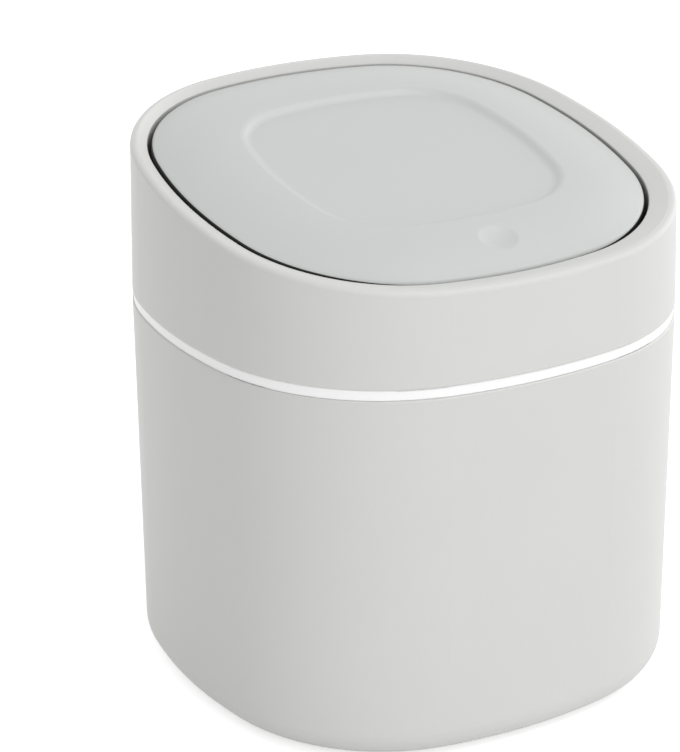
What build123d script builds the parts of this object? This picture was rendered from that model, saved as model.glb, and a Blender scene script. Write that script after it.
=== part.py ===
"""Push-top countertop bin: bucket, bag ring, sloping collar, sprung lid and push-push latch.

Millimetres, +Z up, origin under the middle of the base, front towards -Y. The lid, its hinge
and its latch are drawn in the lid's own frame, which slopes down to the front with the rim.
"""

import os
from math import atan2, cos, degrees, hypot, radians, sin, sqrt, tan

from build123d import *

# ---- Driving dimensions ---------------------------------------------------------------------

# Plan outline, measured at the seam: a square with bulging sides and large corners
half_width = 75.0
side_radius = 148.0
corner_radius = 57.0

# Bucket
bucket_height = 110.9
bucket_wall = 2.0
bucket_floor = 2.2
bucket_taper = 0.7
base_edge_radius = 8.0
mouth_edge_radius = 0.5
foot_ring_width = 14.0
underside_depth = 1.2
pad_radius = 6.0
pad_thickness = 1.3
pad_proud = 0.5
pad_edge_radius = 0.4
pad_inset = 24.0
pad_clearance = 0.3

# Bag ring
band_height = 3.1
band_inset = 0.4
band_edge_radius = 0.4
ring_wall = 1.5
ring_clearance = 0.35
ring_chamfer = 0.45
skirt_depth = 15.0
spigot_height = 8.0
tuck_slot_width = 18.0
tuck_slot_height = 5.0
tuck_slot_rise = 6.5

# Collar
rim_height = 37.5
rim_slope = 9.13
collar_taper = 0.8
collar_wall = 2.0
rim_rise = 1.2
rim_outer_radius = 1.5
crest_width = 0.5
rim_inner_radius = 0.4
rim_roof = 2.4
opening_inset = 7.1
opening_shift = 2.5
lip_wall = 1.8
lip_depth = 14.0
solid_rim_from = 35.0
boss_radius = 3.0
boss_inset = 8.8
boss_top = 12.4
boss_rib = 1.8
boss_rib_rise = 3.5

# Inner frame
frame_clearance = 0.6
frame_depth = 22.0
frame_plate = 2.0
throat_inset = 25.0
chute_wall = 1.6
chute_bottom = 108.5
latch_tab_width = 36.0
latch_tab_reach = 11.0
latch_tab_corner = 4.0
web_height = 4.5
web_thickness = 2.0
post_depth = 4.0
post_radius = 2.4

# Lid
lid_gap = 1.1
lid_sink = 1.2
lid_wall = 1.7
lid_skirt = 5.3
lid_edge_radius = 1.5
crown_height = 4.9
crown_steps = 3
panel_margin = 24.4
panel_land = 0.8
panel_shift = 2.0
panel_depth = 1.6
panel_bevel = 2.2
panel_edge_radius = 2.0
dimple_radius = 6.0
dimple_depth = 1.2
dimple_from_edge = 12.5
dimple_edge_radius = 2.0
cover_thickness = 1.8
cover_clearance = 0.25
lid_post_radius = 2.9
lid_post_from_edge = 16.0

# Hinge
hinge_from_edge = 16.0
hinge_drop = 0.7
pin_radius = 1.0
running_clearance = 0.05
knuckle_radius = 2.5
arm_root = 3.0
knuckle_near = 8.0
knuckle_width = 7.0
spring_near = 16.0
spring_room = 6.6
cheek_near = 23.5
cheek_width = 3.0
cheek_boss_radius = 2.2
cheek_depth = 4.4
cheek_foot_front = 8.0
cheek_foot_back = 6.0
cheek_foot_height = 6.0
clip_thickness = 0.8
clip_radius = 2.2
pin_end = 0.9
pin_chamfer = 0.3
clip_clearance = 0.2
window_margin = 6.0
window_reach = 7.0
tail_skirt = 1.7

# Torsion springs
torsion_wire = 0.6
torsion_turns = 6.5
torsion_coil_gap = 0.07
torsion_coil_radius = 1.8
torsion_leg = 10.5
torsion_step = 3.0
torsion_bend = 1.0
torsion_foot_height = 1.0
spring_pad_length = 3.5

# Latch
latch_from_edge = 10.6
latch_top_gap = 4.4
housing_width = 15.0
housing_depth = 13.0
housing_height = 18.8
housing_wall = 1.7
housing_floor = 1.4
housing_edge_radius = 0.8
ear_reach = 6.5
ear_thickness = 2.0
ear_corner = 2.5
slide_clearance = 0.2
slider_height = 8.0
slider_channel_rise = 4.6
slider_channel_wall = 1.8
slider_roof = 2.0
follower_wire = 0.9
follower_cap = 3.0
follower_ease = 0.05
follower_bend = 0.5
follower_bite = 0.5
follower_groove = 1.55
track_recess = 1.0
track_foot_wall = 0.8
track_head_wall = 0.6
track_half_width = 2.5
track_shoulder = 1.5
track_lobe = 1.2
track_cusp = 0.45
notch_drop = 2.5
notch_rise = 0.7
island_half_width = 1.0
latch_spring_radius = 2.3
latch_spring_wire = 0.7
latch_spring_turns = 6
striker_plate_width = 16.0
striker_plate_depth = 8.0
striker_plate_thickness = 1.6
striker_boss_height = 2.0
striker_boss_radius = 2.1
striker_plate_corner = 1.5
striker_hole_inset = 2.25
neck_width = 3.0
neck_length = 6.0
arrow_width = 7.4
arrow_length = 3.0
arrow_thickness = 3.0
arrow_lip = 0.6
jaw_thickness = 1.2
jaw_depth = 4.0
jaw_gap = 0.4
hook_gap = 0.3
hook_nose = 0.7
hook_bevel = 0.6
rest_gap = 0.3
overlap = 0.2

# Screws
screw_clearance = 0.3
pilot_clearance = 0.02
pilot_spare = 0.7
frame_screw_radius = 1.3
frame_screw_length = 9.0
lid_screw_radius = 1.1
lid_screw_length = 5.6
small_screw_radius = 0.9
small_screw_length = 5.4
ear_screw_length = 6.8
head_ratio = 2.05
head_height_ratio = 1.3
head_round_ratio = 0.6
tip_chamfer_ratio = 0.4
slot_length_ratio = 2.2
slot_width_ratio = 0.35

# ---- Places worked out from them ------------------------------------------------------------

bucket_bottom = pad_proud
mouth_z = bucket_bottom + bucket_height
seam_z = mouth_z + band_height
slope = radians(rim_slope)
stretch = 1 / cos(slope)
rim_z = seam_z + rim_height
lid_plane = Plane(
    origin=(0, opening_shift, rim_z + opening_shift * tan(slope)),
    x_dir=(1, 0, 0),
    z_dir=(0, -sin(slope), cos(slope)),
)
lid_axis = Axis(lid_plane.origin, lid_plane.z_dir)
block = 4 * half_width
tolerance = 0.01

lid_inset = opening_inset + lid_gap
lid_edge_v = (half_width - lid_inset) * stretch
lid_edge_w = -lid_sink
cover_low = lid_edge_w - lid_skirt
cover_top = cover_low + cover_thickness
panel_top = lid_edge_w + crown_height
plate_top = -frame_depth
plate_low = plate_top - frame_plate

axis_v = lid_edge_v - hinge_from_edge
axis_w = lid_edge_w - hinge_drop
pin_half = cheek_near + cheek_width + clip_thickness + pin_end
half_window = cheek_near + cheek_width + window_margin

latch_v = -(lid_edge_v - latch_from_edge)
striker_low = cover_low - striker_plate_thickness
housing_top = striker_low - latch_top_gap
housing_low = housing_top - housing_height
neck_low = striker_low - neck_length
arrow_low = neck_low - arrow_length
slider_top = arrow_low - jaw_gap - jaw_thickness
slider_low = slider_top - slider_height
lane = follower_wire + 2 * slide_clearance
track_low = slider_low + track_foot_wall
track_high = slider_top - track_head_wall
notch_w = track_high - notch_drop


# ---- Outlines and common shapes -------------------------------------------------------------


def corner_centre(half_x, half_y, side, corner):
    """Centre of the corner arc that is tangent to the two bulging sides beside it."""
    ax, ay = half_x - side, half_y - side
    span = hypot(ax, ay)
    rise = sqrt((side - corner) ** 2 - (span / 2) ** 2)
    return ax / 2 - rise * ay / span, ay / 2 - rise * ax / span


def rounded_square(half_x, half_y, side, corner):
    """Face of eight tangent arcs: four bulging sides and four corners."""
    ax, ay = half_x - side, half_y - side
    cx, cy = corner_centre(half_x, half_y, side, corner)
    top_turn = atan2(cy - ay, cx)
    right_turn = atan2(cy, cx - ax)
    middle = (top_turn + right_turn) / 2
    tx, ty = side * cos(top_turn), ay + side * sin(top_turn)
    mx, my = cx + corner * cos(middle), cy + corner * sin(middle)
    rx, ry = ax + side * cos(right_turn), side * sin(right_turn)
    return make_face(
        [
            ThreePointArc((-tx, ty), (0, half_y), (tx, ty)),
            ThreePointArc((tx, ty), (mx, my), (rx, ry)),
            ThreePointArc((rx, ry), (half_x, 0), (rx, -ry)),
            ThreePointArc((rx, -ry), (mx, -my), (tx, -ty)),
            ThreePointArc((tx, -ty), (0, -half_y), (-tx, -ty)),
            ThreePointArc((-tx, -ty), (-mx, -my), (-rx, -ry)),
            ThreePointArc((-rx, -ry), (-half_x, 0), (-rx, ry)),
            ThreePointArc((-rx, ry), (-mx, my), (-tx, ty)),
        ]
    )


def outline(inset, lengthen=1.0):
    """The seam outline moved inwards; lengthen stretches it front to back."""
    half = half_width - inset
    return rounded_square(half, half * lengthen, side_radius - inset, corner_radius - inset)


def corner_point(inset, lengthen=1.0):
    """Middle of the corner of an inset outline, in the first quadrant."""
    half = half_width - inset
    corner = corner_radius - inset
    cx, cy = corner_centre(half, half * lengthen, side_radius - inset, corner)
    return cx + corner * sqrt(0.5), cy + corner * sqrt(0.5)


def prism(face, low, high):
    """Straight block of a face between two heights."""
    return Pos(0, 0, low) * extrude(face, amount=high - low)


def tapered(low_inset, low, high_inset, high):
    """Block whose outline changes evenly from one height to another."""
    faces = [Pos(0, 0, low) * outline(low_inset), Pos(0, 0, high) * outline(high_inset)]
    return loft(faces, ruled=True)


def box(x_low, x_high, y_low, y_high, z_low, z_high):
    """Box between two corners."""
    size = Box(x_high - x_low, y_high - y_low, z_high - z_low)
    return Pos((x_low + x_high) / 2, (y_low + y_high) / 2, (z_low + z_high) / 2) * size


def centred(size_x, size_y, low, high):
    """Box standing about the Z axis."""
    return Pos(0, 0, (low + high) / 2) * Box(size_x, size_y, high - low)


def rod(radius, low, high):
    """Upright cylinder between two heights."""
    return Pos(0, 0, (low + high) / 2) * Cylinder(radius, high - low)


def cross_rod(radius, x_low, x_high, v, w):
    """Cylinder along X."""
    return Pos((x_low + x_high) / 2, v, w) * (Rot(0, 90, 0) * Cylinder(radius, x_high - x_low))


def side_profile(points, x_low, x_high):
    """Plate cut to a profile in the YZ plane, between two X positions."""
    face = make_face(Polyline(*points, close=True))
    return Pos(x_low, 0, 0) * extrude(Plane.YZ * face, amount=x_high - x_low)


def mirrored_face(points):
    """Face whose right-hand half follows the points and whose left-hand half mirrors them."""
    left = [(-x, w) for x, w in reversed(points) if x > 0]
    return make_face(Polyline(*points, *left, close=True))


def slab_about(face, depth):
    """Plate of a face drawn in X and W, centred front to back."""
    return Pos(0, depth / 2, 0) * extrude(Plane.XZ * face, amount=depth)


def both_sides(shape):
    """A shape and its mirror image across the middle of the bin."""
    return shape + mirror(shape, about=Plane.YZ)


def screw(radius, length):
    """Pan-head screw, head down: the shank rises from the head's seat at the origin."""
    head_radius = radius * head_ratio
    head_height = radius * head_height_ratio
    head = rod(head_radius, -head_height, 0)
    head = fillet(head.faces().sort_by(Axis.Z)[0].edges(), radius * head_round_ratio)
    shank = rod(radius, 0, length)
    shank = chamfer(shank.faces().sort_by(Axis.Z)[-1].edges(), radius * tip_chamfer_ratio)
    slot_long = radius * slot_length_ratio
    slot_wide = radius * slot_width_ratio
    slot = Box(slot_long, slot_wide, head_height) + Box(slot_wide, slot_long, head_height)
    return head + shank - Pos(0, 0, -head_height) * slot


def save(name, shape):
    """Write one node's STEP file."""
    shape.label = name
    export_step(shape, f"parts/{name}.step")


# ---- Bucket ---------------------------------------------------------------------------------


def bucket_inset(z):
    """How far the bucket's outside has drawn in at a height."""
    return bucket_taper * (mouth_z - z) / bucket_height


def pad_places():
    """Centres of the four foot pads."""
    x, y = corner_point(pad_inset)
    return [(i * x, j * y) for i in (-1, 1) for j in (-1, 1)]


def bucket():
    """Open bucket with a rounded base edge, a foot ring and seats for the pads."""
    outside = tapered(bucket_inset(bucket_bottom), bucket_bottom, 0, mouth_z)
    outside = fillet(outside.faces().sort_by(Axis.Z)[0].edges(), base_edge_radius)
    outside = fillet(outside.faces().sort_by(Axis.Z)[-1].edges(), mouth_edge_radius)
    floor_z = bucket_bottom + underside_depth + bucket_floor
    above = mouth_z + bucket_wall
    floor_inset = bucket_inset(floor_z) + bucket_wall
    inside = tapered(floor_inset, floor_z, bucket_inset(above) + bucket_wall, above)
    inside = fillet(inside.faces().sort_by(Axis.Z)[0].edges(), base_edge_radius - bucket_wall)
    shell = outside - inside
    shell -= prism(outline(foot_ring_width), bucket_bottom - 1, bucket_bottom + underside_depth)
    seat = rod(pad_radius + pad_clearance, bucket_bottom - 1, pad_thickness)
    boss = rod(pad_radius + bucket_wall, bucket_bottom, floor_z) - seat
    for x, y in pad_places():
        shell = shell - Pos(x, y, 0) * seat + Pos(x, y, 0) * boss
    return shell


def foot_pads():
    """Four non-slip pads, domed a little at their edges."""
    pads = []
    for x, y in pad_places():
        pad = rod(pad_radius, 0, pad_thickness)
        pad = fillet(pad.faces().sort_by(Axis.Z)[0].edges(), pad_edge_radius)
        pads.append(Pos(x, y, 0) * pad)
    return Compound(children=pads)


# ---- Bag ring -------------------------------------------------------------------------------

ring_outer = bucket_wall + ring_clearance
ring_inner = ring_outer + ring_wall


def bag_ring():
    """Ring that clamps the bag: skirt in the bucket, band at the seam, spigot in the collar."""
    low, high = mouth_z - skirt_depth, seam_z + spigot_height
    skirt_top = bucket_inset(mouth_z) + ring_outer
    skirt = tapered(bucket_inset(low) + ring_outer, low, skirt_top, mouth_z + overlap)
    skirt = chamfer(skirt.faces().sort_by(Axis.Z)[0].edges(), ring_chamfer)
    spigot = tapered(ring_outer, seam_z - overlap, collar_inset(high) + ring_outer, high)
    spigot = chamfer(spigot.faces().sort_by(Axis.Z)[-1].edges(), ring_chamfer)
    band = prism(outline(band_inset), mouth_z, seam_z)
    band = fillet(band.edges().filter_by(Axis.Z, reverse=True), band_edge_radius)
    ring = skirt + spigot + band - prism(outline(ring_inner + bucket_taper), low - 1, high + 1)
    slot_size = Box(tuck_slot_width, half_width, tuck_slot_height)
    slot = Pos(0, half_width, low + tuck_slot_rise) * slot_size
    return ring - slot


# ---- Collar ---------------------------------------------------------------------------------


def collar_inset(z):
    """How far the collar's outside has drawn in at a height."""
    return collar_taper * (z - seam_z) / rim_height


def frame_boss_places():
    """Centres of the four bosses at the lip's foot, in the lid's frame."""
    x, y = corner_point(boss_inset)
    lean = (plate_top - boss_top) / 2 * sin(slope)
    return [(i * x, (j * y - opening_shift + lean) * stretch) for i in (-1, 1) for j in (-1, 1)]


def frame_boss(x, v):
    """Boss with a rib that ties it out to the collar's wall."""
    rib = box(0, 2 * boss_inset, -boss_rib / 2, boss_rib / 2, plate_top + boss_rib_rise, -boss_top)
    outwards = Rot(0, 0, degrees(atan2(v, x)))
    return Pos(x, v, 0) * (rod(boss_radius, plate_top, -boss_top) + outwards * rib)


def opening():
    """Space inside the rim: straight through the lip, then flaring up to the crest."""
    back_z = rim_z + half_width * tan(slope)
    crest = outline(collar_inset(back_z) + rim_outer_radius + crest_width, stretch)
    crest_v = rim_rise * tan(slope) - opening_shift * stretch
    lip = outline(opening_inset, stretch)
    sections = [
        Pos(0, 0, -lip_depth - 1) * lip,
        Pos(0, 0, lid_edge_w) * lip,
        Pos(0, crest_v, rim_rise) * crest,
        Pos(0, crest_v, rim_rise + 1) * crest,
    ]
    space = loft(sections, ruled=True)
    lip_edge = [e for e in space.edges() if abs(e.center().Z - lid_edge_w) < tolerance]
    return lid_plane * fillet(lip_edge, rim_inner_radius)


def collar():
    """Outer wall that rises to a rolled crest, then slopes in to the lip round the lid."""
    crest_back = seam_z + 2 * rim_height
    outside = tapered(0, seam_z, collar_inset(crest_back), crest_back)
    inside = tapered(collar_wall, seam_z - 1, collar_inset(crest_back) + collar_wall, crest_back)
    outside -= lid_plane * box(-block, block, -block, block, rim_rise, block)
    inside -= lid_plane * box(-block, block, -block, block, -rim_roof, block)
    outside = fillet(outside.faces().sort_by(lid_axis)[-1].edges(), rim_outer_radius)
    outside = fillet(outside.faces().sort_by(Axis.Z)[0].edges(), mouth_edge_radius)
    lip_zone = prism(outline(opening_inset - lip_wall, stretch), -lip_depth, 0)
    lip_zone += box(-block, block, solid_rim_from, block, -lip_depth, 0)
    shape = outside - opening()
    crest = shape.faces().filter_by(GeomType.PLANE).sort_by(lid_axis)[-1]
    shape = fillet(crest.inner_wires()[0].edges(), crest_width)
    shape -= inside - lid_plane * lip_zone
    pilot_top = plate_low + frame_screw_length + pilot_spare
    pilot = rod(frame_screw_radius + pilot_clearance, plate_top - 1, pilot_top)
    for x, v in frame_boss_places():
        shape += (lid_plane * frame_boss(x, v)) & inside
    for x, v in frame_boss_places():
        shape -= lid_plane * (Pos(x, v, 0) * pilot)
    return shape


# ---- Inner frame ----------------------------------------------------------------------------


def latch_at(shape):
    """Put a shape drawn about the latch's axis where the latch sits, in the lid's frame."""
    return Pos(0, latch_v, 0) * shape


def hinge_cheek():
    """Upright cheek that carries the pin, leaning clear of the lid's swinging tail."""
    foot = plate_top - overlap
    knee = plate_top + cheek_foot_height
    back = cheek_boss_radius / 2
    points = [
        (axis_v - cheek_foot_front, foot),
        (axis_v + cheek_foot_back, foot),
        (axis_v + back, knee),
        (axis_v + cheek_boss_radius, axis_w),
        (axis_v - cheek_boss_radius, axis_w),
        (axis_v + back - cheek_depth, knee),
    ]
    far = cheek_near + cheek_width
    plate = side_profile(points, cheek_near, far)
    return plate + cross_rod(cheek_boss_radius, cheek_near, far, axis_v, axis_w)


def throat(widen):
    """Outline of the opening for rubbish, with a tab left for the latch; widen moves it out."""
    tab_end = -half_width + throat_inset + latch_tab_reach
    tab = RectangleRounded(latch_tab_width, 2 * half_width, latch_tab_corner)
    tab = Pos(0, tab_end - half_width) * tab
    face = outline(throat_inset) - tab
    return offset(face, widen) if widen else face


def hinge_stand():
    """Two cheeks for the pin and the web that the springs' legs bear on."""
    web_v = axis_v - torsion_step + torsion_wire / 2
    reach = cheek_near + cheek_width / 2
    web = box(-reach, reach, web_v, web_v + web_thickness, plate_top - overlap, plate_top + web_height)
    bore = cross_rod(pin_radius + running_clearance, -block / 2, block / 2, axis_v, axis_w)
    return both_sides(hinge_cheek()) + web - bore


def inner_frame():
    """Sloping plate with the throat, its chute, the hinge stand and the latch's seat."""
    rim = prism(outline(ring_inner + bucket_taper + frame_clearance), 0, block)
    slab = lid_plane * box(-block, block, -block, block, plate_low, plate_top)
    below = lid_plane * box(-block, block, -block, block, -block, plate_top)
    chute = prism(throat(chute_wall), chute_bottom, block) & below
    shape = (slab & rim) + chute
    post = Pos(ear_screw_x, 0, 0) * rod(post_radius, plate_low - post_depth, plate_low + overlap)
    shape += lid_plane * (hinge_stand() + latch_at(both_sides(post)))
    shape -= prism(throat(0), 0, block) & below
    room = 2 * slide_clearance
    well = centred(housing_width + room, housing_depth + room, plate_low - 1, plate_top + 1)
    pilot_low = plate_low - post_depth + overlap
    pilot = Pos(ear_screw_x, 0, 0) * rod(small_screw_radius + pilot_clearance, pilot_low, plate_top + 1)
    shape -= lid_plane * latch_at(well + both_sides(pilot))
    hole = rod(frame_screw_radius + screw_clearance, plate_low - 1, plate_top + 1)
    for x, v in frame_boss_places():
        shape -= lid_plane * (Pos(x, v, 0) * hole)
    return shape


def frame_screws():
    """Screws up through the frame into the collar's bosses."""
    one = Pos(0, 0, plate_low) * screw(frame_screw_radius, frame_screw_length)
    return Compound(children=[lid_plane * (Pos(x, v, 0) * one) for x, v in frame_boss_places()])


# ---- Lid ------------------------------------------------------------------------------------


def crown_at(share):
    """Height of the crown above the lid's edge, at a share of the way in to the panel."""
    return crown_height * (1 - (1 - share) ** 2)


def crowned(inset, drop, low):
    """Lid-shaped block: straight skirt and crown, moved in and down by a wall."""
    base = lid_inset + inset
    edge_w = lid_edge_w - drop
    skirt = prism(outline(base, stretch), low, edge_w)
    faces = []
    for step in range(crown_steps + 1):
        share = step / crown_steps
        ring = outline(base + (panel_margin - inset) * share, stretch)
        faces.append(Pos(0, -panel_shift * share, edge_w + crown_at(share)) * ring)
    return skirt + loft(faces)


def dimple_ball(extra):
    """Ball whose cap is the fingertip dimple, set square to the sloping crown."""
    margin = panel_margin - panel_shift
    share = dimple_from_edge / margin
    lean = atan2(2 * crown_height * (1 - share), margin)
    ball = (dimple_radius**2 + dimple_depth**2) / (2 * dimple_depth)
    rise = ball - dimple_depth
    v = -(lid_edge_v - dimple_from_edge) - rise * sin(lean)
    w = lid_edge_w + crown_at(share) + rise * cos(lean)
    return Pos(0, v, w) * Sphere(ball + extra)


def lid_post_places():
    """Centres of the posts that take the lid's screws."""
    x, v = corner_point(lid_inset + lid_post_from_edge, stretch)
    return [(i * x, j * v) for i in (-1, 1) for j in (-1, 1)]


def lid_panel():
    """Outer lid shell: rounded edge, crown, sunken panel and fingertip dimple."""
    outside = crowned(0, 0, cover_low)
    edge = [e for e in outside.edges() if abs(e.center().Z - lid_edge_w) < tolerance]
    outside = fillet(edge, lid_edge_radius)
    sunk_edge = lid_inset + panel_margin + panel_land
    above = panel_depth / 3
    sunk = loft(
        [
            Pos(0, -panel_shift, panel_top - panel_depth) * outline(sunk_edge + panel_bevel, stretch),
            Pos(0, -panel_shift, panel_top + above) * outline(sunk_edge - panel_bevel / 3, stretch),
        ],
        ruled=True,
    )
    floor_edge = sunk.faces().sort_by(Axis.Z)[0].edges()
    outside -= fillet(floor_edge, panel_edge_radius)
    land = outside.faces().sort_by(Axis.Z)[-1]
    outside = fillet(land.inner_wires()[0].edges(), panel_edge_radius)
    outside -= dimple_ball(0)
    outside = fillet(outside.faces().filter_by(GeomType.SPHERE)[0].edges(), dimple_edge_radius)
    inside = crowned(lid_wall, lid_wall, cover_low - 1)
    under = Pos(0, -panel_shift, 0) * outline(lid_inset + panel_margin - lid_wall / 2, stretch)
    inside -= prism(under, panel_top - panel_depth - lid_wall, panel_top)
    inside -= dimple_ball(lid_wall)
    posts = [Pos(x, v, 0) * rod(lid_post_radius, cover_top, panel_top) for x, v in lid_post_places()]
    pad_low = axis_w + torsion_coil_radius + torsion_wire / 2 + rest_gap
    pad_v = axis_v - torsion_leg
    pad_far = spring_near + spring_room
    pad = box(spring_near, pad_far, pad_v, pad_v + spring_pad_length, pad_low, panel_top)
    shell = outside - inside
    for shape in [*posts, pad, mirror(pad, about=Plane.YZ)]:
        shell += shape & outside
    pilot_top = cover_low + lid_screw_length + pilot_spare
    for x, v in lid_post_places():
        shell -= Pos(x, v, 0) * rod(lid_screw_radius + pilot_clearance, cover_low - 1, pilot_top)
    tail_v = axis_v + window_reach
    shell -= box(-half_window, half_window, tail_v, block, cover_low - 1, lid_edge_w - tail_skirt)
    return lid_plane * shell


def lid_cover():
    """Under cover with the two hinge knuckles, open where the hinge stand comes through."""
    edge = lid_inset + lid_wall + cover_clearance
    plate = prism(outline(edge, stretch), cover_low, cover_top)
    window_v = axis_v - window_reach
    plate -= box(-half_window, half_window, window_v, block, cover_low - 1, cover_top + 1)
    root = window_v - arm_root
    side = knuckle_radius * sqrt(0.5)
    points = [
        (root, cover_low),
        (window_v, cover_low),
        (axis_v + side, axis_w - side),
        (axis_v - side, axis_w + side),
        (root, cover_top + arm_root / 2),
    ]
    arm = side_profile(points, knuckle_near, knuckle_near + knuckle_width)
    arm += cross_rod(knuckle_radius, knuckle_near, knuckle_near + knuckle_width, axis_v, axis_w)
    plate += both_sides(arm)
    plate -= cross_rod(pin_radius + running_clearance, -block / 2, block / 2, axis_v, axis_w)
    for x, v in lid_post_places():
        plate -= Pos(x, v, 0) * rod(lid_screw_radius + screw_clearance, cover_low - 1, cover_top + 1)
    boss_high = cover_top + striker_boss_height
    boss = rod(striker_boss_radius, cover_top - overlap, boss_high)
    plate += latch_at(both_sides(Pos(striker_screw_x, 0, 0) * boss))
    pilot = rod(small_screw_radius + pilot_clearance, cover_low - 1, boss_high + 1)
    plate -= latch_at(both_sides(Pos(striker_screw_x, 0, 0) * pilot))
    return lid_plane * plate


def lid_screws():
    """Screws up through the cover into the panel's posts."""
    one = Pos(0, 0, cover_low) * screw(lid_screw_radius, lid_screw_length)
    return Compound(children=[lid_plane * (Pos(x, v, 0) * one) for x, v in lid_post_places()])


# ---- Hinge ----------------------------------------------------------------------------------


def hinge_pin():
    """Steel pin with chamfered ends."""
    pin = cross_rod(pin_radius, -pin_half, pin_half, axis_v, axis_w)
    ends = pin.faces().sort_by(Axis.X)
    pin = chamfer(ends[0].edges() + ends[-1].edges(), pin_chamfer)
    return lid_plane * pin


def pin_clips():
    """Push-on clips outside the cheeks."""
    near = cheek_near + cheek_width + clip_clearance
    clips = []
    for side in (-1, 1):
        x_low, x_high = sorted((side * near, side * (near + clip_thickness)))
        ring = cross_rod(clip_radius, x_low, x_high, axis_v, axis_w)
        ring -= cross_rod(pin_radius + pilot_clearance, x_low - 1, x_high + 1, axis_v, axis_w)
        clips.append(lid_plane * ring)
    return Compound(children=clips)


def wire(points, radius, bend):
    """Round wire along straight runs joined by bends."""
    path = FilletPolyline(*points, radius=bend)
    start = Plane(origin=path @ 0, z_dir=path % 0)
    return sweep(start * Circle(radius), path=path)


def torsion_spring():
    """Spring on the pin: one leg forward under the lid, one bent down against the web."""
    pitch = torsion_wire + torsion_coil_gap
    length = pitch * torsion_turns
    inner_x = spring_near + (spring_room - length) / 2
    coil = Helix(pitch, length, torsion_coil_radius)
    coil = Pos(inner_x, axis_v, axis_w) * (Rot(0, 90, 0) * coil)
    begin, finish = coil @ 0, coil @ 1
    corner = begin - (coil % 0) * torsion_step
    foot = (corner.X, corner.Y, plate_top + torsion_foot_height)
    down = FilletPolyline(foot, corner, begin, radius=torsion_bend)
    forward = Line(finish, finish + (coil % 1) * torsion_leg)
    path = Wire(down.edges() + coil.edges() + forward.edges())
    start = Plane(origin=path @ 0, z_dir=path % 0)
    return sweep(start * Circle(torsion_wire / 2), path=path)


def torsion_spring_right():
    """Spring on the +X side."""
    return lid_plane * torsion_spring()


def torsion_spring_left():
    """Its mirror image on the -X side."""
    return lid_plane * mirror(torsion_spring(), about=Plane.YZ)


# ---- Latch ----------------------------------------------------------------------------------

well_x = housing_width / 2 - housing_wall
well_v = housing_depth / 2 - housing_wall
slider_x = well_x - slide_clearance
slider_v = well_v - slide_clearance
ear_screw_x = (housing_width + ear_reach) / 2
striker_screw_x = striker_plate_width / 2 - striker_hole_inset


def latch_housing():
    """Square well with two screw ears and a groove for the follower wire."""
    body = centred(housing_width, housing_depth, housing_low, housing_top)
    body = fillet(body.edges().filter_by(Axis.Z), housing_edge_radius)
    ear_top = plate_top + ear_thickness
    ears = centred(housing_width + 2 * ear_reach, housing_depth, plate_top, ear_top)
    ears = fillet(ears.edges().filter_by(Axis.Z), ear_corner)
    body += ears
    floor_w = housing_low + housing_floor
    body -= centred(2 * well_x, 2 * well_v, floor_w, housing_top + 1)
    groove_v, groove_top = well_v + follower_wire, housing_top - follower_cap
    body -= box(-follower_groove, follower_groove, 0, groove_v, floor_w, groove_top)
    hole = rod(small_screw_radius + screw_clearance, plate_top - 1, ear_top + 1)
    return lid_plane * latch_at(body - both_sides(Pos(ear_screw_x, 0, 0) * hole))


def latch_screws():
    """Screws down through the latch's ears into the frame's posts."""
    one = Rot(180, 0, 0) * screw(small_screw_radius, ear_screw_length)
    ear_top = plate_top + ear_thickness
    places = [Pos(side * ear_screw_x, 0, ear_top) for side in (-1, 1)]
    return Compound(children=[lid_plane * latch_at(place * one) for place in places])


def heart_track():
    """Heart-shaped cam track: two lanes round an island with a notch in its top."""
    half = track_half_width
    field = [
        (0, track_low),
        (half, track_low + half),
        (half, track_high - track_shoulder),
        (track_lobe, track_high),
        (0, track_high - track_cusp),
    ]
    foot_w = track_low + lane * sqrt(2)
    island = [
        (0, foot_w),
        (island_half_width, foot_w + island_half_width),
        (island_half_width, notch_w + notch_rise),
        (0, notch_w),
    ]
    face = mirrored_face(field) - mirrored_face(island)
    return Pos(0, slider_v + tolerance, 0) * extrude(Plane.XZ * face, amount=track_recess)


def latch_slider():
    """Slider with a channel for the jaws, a bore for the spring and the cam track."""
    body = centred(2 * slider_x, 2 * slider_v, slider_low, slider_top)
    channel_top = slider_top + slider_channel_rise
    channel = centred(2 * slider_x, 2 * slider_v, slider_top - overlap, channel_top)
    inner = slider_v - slider_channel_wall
    channel -= centred(block, 2 * inner, slider_top - 1, channel_top + 1)
    body += channel
    bore = latch_spring_radius + latch_spring_wire
    body -= rod(bore, slider_low - 1, slider_top - slider_roof)
    return lid_plane * latch_at(body - heart_track())


def latch_jaws():
    """Spring clip: a base strip and two arms with hooks over the striker's arrow head."""
    inner = arrow_width / 2 + jaw_gap
    outer = inner + jaw_thickness
    neck = neck_width / 2 + jaw_gap
    hook_low = neck_low + hook_gap
    hook_top = hook_low + jaw_thickness
    points = [
        (outer, slider_top),
        (outer, hook_top),
        (neck + hook_nose, hook_top),
        (neck, hook_top - hook_bevel),
        (neck, hook_low),
        (inner, hook_low),
        (inner, slider_top + jaw_thickness),
    ]
    return lid_plane * latch_at(slab_about(mirrored_face(points), jaw_depth))


def latch_spring():
    """Compression spring between the slider and the housing's floor."""
    low = housing_low + housing_floor
    high = slider_top - slider_roof
    height = high - low - latch_spring_wire
    helix = Helix(height / latch_spring_turns, height, latch_spring_radius)
    start = Plane(origin=helix @ 0, z_dir=helix % 0)
    coil = sweep(start * Circle(latch_spring_wire / 2), path=helix)
    return lid_plane * latch_at(Pos(0, 0, low + latch_spring_wire / 2) * coil)


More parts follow.
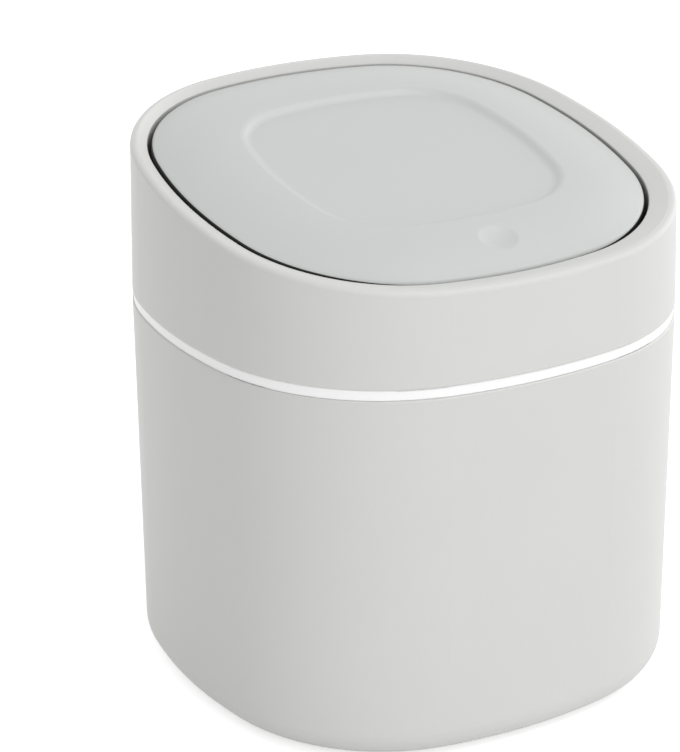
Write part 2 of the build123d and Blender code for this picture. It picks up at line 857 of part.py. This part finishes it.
def latch_follower():
    """Wire held in the housing's groove, its bent tip in the notch of the cam track."""
    low = housing_low + housing_floor + follower_wire
    radius = follower_wire / 2 - follower_ease
    tip_w = notch_w + follower_wire
    points = [
        (0, well_v + radius, low),
        (0, well_v + radius, tip_w),
        (0, slider_v - track_recess + follower_bite, tip_w),
    ]
    return lid_plane * latch_at(wire(points, radius, follower_bend))


def lid_striker():
    """Arrow-headed striker on its screw plate."""
    plate = centred(striker_plate_width, striker_plate_depth, striker_low, cover_low)
    plate = fillet(plate.edges().filter_by(Axis.Z), striker_plate_corner)
    half_neck, half_head = neck_width / 2, arrow_width / 2
    points = [
        (half_neck, striker_low + overlap),
        (half_neck, neck_low),
        (half_head, neck_low),
        (half_head, neck_low - arrow_lip),
        (half_neck, arrow_low),
    ]
    tongue = slab_about(mirrored_face(points), arrow_thickness)
    hole = rod(small_screw_radius + screw_clearance, striker_low - 1, cover_low + 1)
    holes = both_sides(Pos(striker_screw_x, 0, 0) * hole)
    return lid_plane * latch_at(plate + tongue - holes)


def striker_screws():
    """Screws up through the striker's plate into the cover's bosses."""
    one = screw(small_screw_radius, small_screw_length)
    places = [Pos(side * striker_screw_x, 0, striker_low) for side in (-1, 1)]
    return Compound(children=[lid_plane * latch_at(place * one) for place in places])


# ---- Build ----------------------------------------------------------------------------------

os.makedirs("parts", exist_ok=True)

for piece in (
    bucket, foot_pads, bag_ring, collar, inner_frame, frame_screws,
    lid_panel, lid_cover, lid_screws, hinge_pin, pin_clips, torsion_spring_left, torsion_spring_right,
    latch_housing, latch_screws, latch_slider, latch_jaws, latch_spring, latch_follower,
    lid_striker, striker_screws,
):
    save(piece.__name__, piece())
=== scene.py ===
"""Push-top countertop bin: the finish of every piece, the studio and the camera."""

from math import cos, radians, sin

import bpy
from mathutils import Matrix, Vector

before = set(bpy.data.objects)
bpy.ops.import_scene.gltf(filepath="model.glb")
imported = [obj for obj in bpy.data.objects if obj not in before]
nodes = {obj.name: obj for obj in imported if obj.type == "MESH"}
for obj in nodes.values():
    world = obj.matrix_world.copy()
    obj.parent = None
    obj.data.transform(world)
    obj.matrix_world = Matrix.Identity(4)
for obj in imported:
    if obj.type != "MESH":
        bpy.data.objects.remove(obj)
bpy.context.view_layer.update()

# ---- Bucket ---------------------------------------------------------------------------------
# An injection-moulded bucket in warm light-grey polypropylene. The mould's walls are finely
# spark-eroded, which leaves a soft satin skin with an almost invisible tooth.

mm = 0.001


class Field:
    """A value that varies over a surface. Arithmetic on it adds Math nodes."""

    def __init__(self, tree, socket=None):
        self.tree = tree
        self.socket = socket

    def node(self, kind, settings, inputs, output=0):
        """Add a node, set it up, feed its sockets and give back one of its outputs."""
        made = self.tree.nodes.new(kind)
        for name, value in settings.items():
            setattr(made, name, value)
        for name, value in inputs.items():
            if isinstance(value, Field):
                self.tree.links.new(value.socket, made.inputs[name])
            else:
                made.inputs[name].default_value = value
        return Field(self.tree, made.outputs[output])

    def maths(self, operation, first, second=0.0):
        """One Math node on two values."""
        return self.node("ShaderNodeMath", {"operation": operation}, {0: first, 1: second})

    def __add__(self, other):
        return self.maths("ADD", self, other)

    def __radd__(self, other):
        return self.maths("ADD", other, self)

    def __sub__(self, other):
        return self.maths("SUBTRACT", self, other)

    def __rsub__(self, other):
        return self.maths("SUBTRACT", other, self)

    def __mul__(self, other):
        return self.maths("MULTIPLY", self, other)

    def __rmul__(self, other):
        return self.maths("MULTIPLY", other, self)


def linear(red, green, blue):
    """A colour picked on screen, 0 to 255, as the shader needs it."""
    def one(value):
        share = value / 255
        return share / 12.92 if share <= 0.04045 else ((share + 0.055) / 1.055) ** 2.4
    return (one(red), one(green), one(blue), 1.0)


class Finish:
    """One material: its shader, and the fields over the piece that drive it."""

    def __init__(self, name, roughness, specular=0.5, metallic=0.0):
        self.material = bpy.data.materials.new(name)
        self.material.use_nodes = True
        tree = self.material.node_tree
        self.shader = tree.nodes["Principled BSDF"]
        self.shader.inputs["Roughness"].default_value = roughness
        self.shader.inputs["Specular IOR Level"].default_value = specular
        self.shader.inputs["Metallic"].default_value = metallic
        self.field = Field(tree)
        self.place = self.field.node("ShaderNodeTexCoord", {}, {}, output="Object")

    def noise(self, size, detail=2.0, stretch=(1.0, 1.0, 1.0)):
        """Soft noise from 0 to 1 whose spots are about one size across."""
        scale = tuple(share / size for share in stretch)
        mapped = self.field.node("ShaderNodeMapping", {}, {"Vector": self.place, "Scale": scale})
        spots = {"Vector": mapped, "Scale": 1.0, "Detail": detail}
        return self.field.node("ShaderNodeTexNoise", {}, spots)

    def shade(self, factor, low, high):
        """A colour between two others. A Mix node's colour sockets have no names of their own."""
        factor_socket, low_socket, high_socket, result_socket = 0, 6, 7, 2
        sockets = {factor_socket: factor, low_socket: low, high_socket: high}
        return self.field.node("ShaderNodeMix", {"data_type": "RGBA"}, sockets, result_socket)

    def relief(self, height, depth):
        """Bump of a real depth, in metres, from a height field of 0 to 1."""
        bump = self.field.node(
            "ShaderNodeBump", {}, {"Height": height, "Distance": depth, "Strength": 1.0}
        )
        self.link(bump, "Normal")

    def link(self, value, name):
        """Drive one of the shader's inputs."""
        self.field.tree.links.new(value.socket, self.shader.inputs[name])

    def on(self, *names):
        """Give this finish to CAD nodes."""
        for name in names:
            slots = nodes[name].data.materials
            slots.clear()
            slots.append(self.material)


def moulded(name, light, dark, roughness, specular=0.5):
    """Moulded plastic with a fine tooth, slight flow clouds and a patchy sheen."""
    cloud_size = 38 * mm
    speck_size = 0.9 * mm
    tooth_size = 0.35 * mm
    tooth_depth = 0.006 * mm
    cloud_share = 0.7
    cloud_sheen = 0.06
    speck_sheen = 0.05
    made = Finish(name, roughness, specular)
    clouds = made.noise(cloud_size, detail=3.0)
    specks = made.noise(speck_size)
    mottle = clouds * cloud_share + specks * (1 - cloud_share)
    made.tone = made.shade(mottle, linear(*dark), linear(*light))
    made.link(made.tone, "Base Color")
    sheen = clouds * cloud_sheen + specks * speck_sheen
    made.link(sheen + (roughness - (cloud_sheen + speck_sheen) / 2), "Roughness")
    made.relief(made.noise(tooth_size, detail=1.0), tooth_depth)
    return made


body_finish = moulded("body satin", (212, 212, 210), (207, 207, 205), roughness=0.46, specular=0.3)
body_finish.on("bucket")

# ---- Foot pads ------------------------------------------------------------------------------
# Four discs of soft grey thermoplastic rubber, pressed into round seats under the base.
# They are moulded with a dull skin, and keep the bin from sliding.

pad_finish = moulded("pad rubber", (128, 128, 127), (116, 116, 115), roughness=0.78)
pad_finish.on("foot_pads")

# ---- Bag ring -------------------------------------------------------------------------------
# The ring that grips the bag is moulded in bright white polypropylene and drops into the
# bucket's mouth. Its flange shows as a fine line at the seam, smoother than the body.

ring_finish = moulded("ring white", (250, 250, 250), (245, 245, 245), roughness=0.36)
ring_finish.on("bag_ring")

# ---- Collar and inner frame -----------------------------------------------------------------
# The sloping collar is moulded in the bucket's plastic. The frame inside it is moulded in dull
# dark grey, is screwed to the collar's bosses, and carries the hinge and the latch.

body_finish.on("collar")

frame_finish = moulded("frame matte", (74, 74, 75), (64, 64, 65), roughness=0.6)
frame_finish.on("inner_frame")

# ---- Lid ------------------------------------------------------------------------------------
# The lid's skin is moulded in a slightly cooler grey than the body. The foot of its skirt is
# painted near black. This is painted shade standing in for the shadow in the gap round the lid,
# so the gap reads as a fine dark line. The painted shade starts deeper at the front and back.
# The cover is moulded in the frame's plastic and screwed on from below.

lid_slope = radians(9.13)
rim_height = 152.0 * mm
lid_reach = 64.6 * mm
# Where the gap's painted shade begins below the rim, how much deeper it begins at front and back,
# and how soft its edge is.
painted_shade_drop = 1.3 * mm
painted_shade_dip = 1.1 * mm
painted_shade_fade = 0.15 * mm

lid_finish = moulded("lid satin", (199, 201, 200), (195, 197, 196), roughness=0.4, specular=0.3)
lid_place = lid_finish.place
lid_field = lid_finish.field

# The skin's colour runs down to a depth, measured square to the rim's sloping plane. Below that
# depth the skirt carries the painted shade of the gap.
square_to_rim = {0: lid_place, 1: (0.0, -sin(lid_slope), cos(lid_slope))}
height = lid_field.node("ShaderNodeVectorMath", {"operation": "DOT_PRODUCT"}, square_to_rim, "Value")
depth = rim_height * cos(lid_slope) - height
along = lid_field.node("ShaderNodeSeparateXYZ", {}, {"Vector": lid_place}, "Y") * (1 / lid_reach)
squared = along * along
fourth = squared * squared
painted_shade_start = fourth * fourth * painted_shade_dip + painted_shade_drop
skin = lid_field.node("ShaderNodeClamp", {}, {"Value": (painted_shade_start - depth) * (1 / painted_shade_fade)})
# Painted shade: near black that stands in for the shadow inside the gap round the lid.
painted_gap_shade = linear(22, 22, 23)
lid_finish.link(lid_finish.shade(skin, painted_gap_shade, lid_finish.tone), "Base Color")
lid_finish.on("lid_panel")
frame_finish.on("lid_cover")

# ---- Latch ----------------------------------------------------------------------------------
# The latch under the lid's front edge and the striker on the lid are moulded in slippery
# natural acetal, milky and a little shiny, and each is held by two screws.

latch_finish = moulded("latch acetal", (232, 231, 226), (226, 225, 219), roughness=0.3)
latch_finish.on("latch_housing", "latch_slider", "latch_jaws", "lid_striker")

# ---- Pin, springs and screws ----------------------------------------------------------------
# The hinge pin and its push-on clips are bright steel. The springs and the latch's follower
# are bent from drawn steel wire, and the screws are cold headed and zinc plated.


def metal(name, light, dark, roughness, stretch):
    """Steel with fine marks, drawn out along an axis whose stretch is below one."""
    mark_size = 0.4 * mm
    mark_depth = 0.003 * mm
    mark_sheen = 0.12
    made = Finish(name, roughness, metallic=1.0)
    marks = made.noise(mark_size, stretch=stretch)
    made.link(made.shade(marks, linear(*dark), linear(*light)), "Base Color")
    made.link(marks * mark_sheen + (roughness - mark_sheen / 2), "Roughness")
    made.relief(marks, mark_depth)
    return made


pin_finish = metal("pin ground steel", (214, 215, 217), (196, 197, 200), 0.24, (0.1, 1.0, 1.0))
pin_finish.on("hinge_pin", "pin_clips")
wire_finish = metal("drawn spring wire", (176, 177, 180), (150, 151, 155), 0.32, (1.0, 1.0, 1.0))
wire_finish.on("torsion_spring_left", "torsion_spring_right", "latch_spring", "latch_follower")
screw_finish = metal("zinc plated screw", (204, 206, 208), (182, 184, 187), 0.3, (1.0, 1.0, 0.4))
screw_finish.on("frame_screws", "lid_screws", "latch_screws", "striker_screws")

# ---- Floor ----------------------------------------------------------------------------------
# A wide sheet of plain pale paper, laid flat. It glows a little where it is looked at, so it
# reads as white and still keeps the bin's soft shadow.

floor_side = 8.0
paper_colour = (0.78, 0.78, 0.78, 1.0)
paper_glow = (0.57, 0.57, 0.57, 1.0)
no_glow = (0.0, 0.0, 0.0, 1.0)

bpy.ops.object.select_all(action="DESELECT")
bpy.ops.mesh.primitive_plane_add(size=floor_side, location=(0, 0, 0))
floor = bpy.context.object
floor.name = "floor"


def seen_directly(field):
    """One for a ray from the camera, a mirror or glass, and nought for a ray that lights."""
    rays = [
        field.node("ShaderNodeLightPath", {}, {}, kind)
        for kind in ("Is Camera Ray", "Is Glossy Ray", "Is Transmission Ray")
    ]
    return field.maths("MAXIMUM", field.maths("MAXIMUM", rays[0], rays[1]), rays[2])


paper = Finish("floor paper", roughness=0.9, specular=0.0)
paper.shader.inputs["Base Color"].default_value = paper_colour
paper.shader.inputs["Emission Strength"].default_value = 1.0
paper.link(paper.shade(seen_directly(paper.field), no_glow, paper_glow), "Emission Color")
floor.data.materials.append(paper.material)

# ---- Studio light ---------------------------------------------------------------------------
# An even white room with four large softboxes: one each in front, to the right, behind, and
# high on the front right. Only the right and top ones leave a sheen on the plastic.

room_light = 0.57
softbox_side = 0.9
lamps_look_at = Vector((0, 0, 80 * mm))

world = bpy.data.worlds.new("studio")
bpy.context.scene.world = world
world.use_nodes = True
room = Field(world.node_tree)
walls = world.node_tree.nodes["Background"]
walls.inputs["Color"].default_value = (1.0, 1.0, 1.0, 1.0)
strength = seen_directly(room) * (1.0 - room_light) + room_light
room.tree.links.new(strength.socket, walls.inputs["Strength"])


def lamp(name, place, power, glints):
    """A square softbox that looks from its place at the middle of the bin."""
    data = bpy.data.lights.new(name, "AREA")
    data.size = softbox_side
    data.energy = power
    made = bpy.data.objects.new(name, data)
    made.location = place
    made.rotation_euler = (lamps_look_at - made.location).to_track_quat("-Z", "Y").to_euler()
    made.visible_camera = False
    made.visible_glossy = glints
    bpy.context.scene.collection.objects.link(made)


lamp("front softbox", (-0.22, -1.31, 0.43), 5.7, glints=False)
lamp("right softbox", (1.31, 0.25, 0.43), 5.0, glints=True)
lamp("back softbox", (-0.25, 1.31, 0.43), 6.0, glints=False)
lamp("top softbox", (0.35, -0.45, 1.25), 6.0, glints=True)

# ---- Camera ---------------------------------------------------------------------------------
# A long lens looks down on the bin from the front left, high enough to see over the lid. Its
# focal length is counted in pixels of a view that is 752 pixels high.

focal_pixels = 2778.6
view_height = 752
sensor = 36.0
azimuth = radians(-29.208)
elevation = radians(22.300)
roll = radians(0.498)
distance = 816.8 * mm
aside = -18.26 * mm
upward = -25.85 * mm
seam_height = 114.5 * mm

back = Vector((sin(azimuth) * cos(elevation), -cos(azimuth) * cos(elevation), sin(elevation)))
level_right = Vector((cos(azimuth), sin(azimuth), 0))
level_up = back.cross(level_right)
right = cos(roll) * level_right - sin(roll) * level_up
up = sin(roll) * level_right + cos(roll) * level_up
eye = Vector((0, 0, seam_height)) + level_right * aside + level_up * upward + back * distance

lens = bpy.data.cameras.new("camera")
lens.sensor_fit = "VERTICAL"
lens.sensor_height = sensor
lens.lens = focal_pixels * sensor / view_height
lens.clip_end = 20.0
camera = bpy.data.objects.new("camera", lens)
camera.matrix_world = Matrix.Translation(eye) @ Matrix((right, up, back)).transposed().to_4x4()
bpy.context.scene.collection.objects.link(camera)
bpy.context.scene.camera = camera
bpy.context.scene.view_settings.view_transform = "Standard"
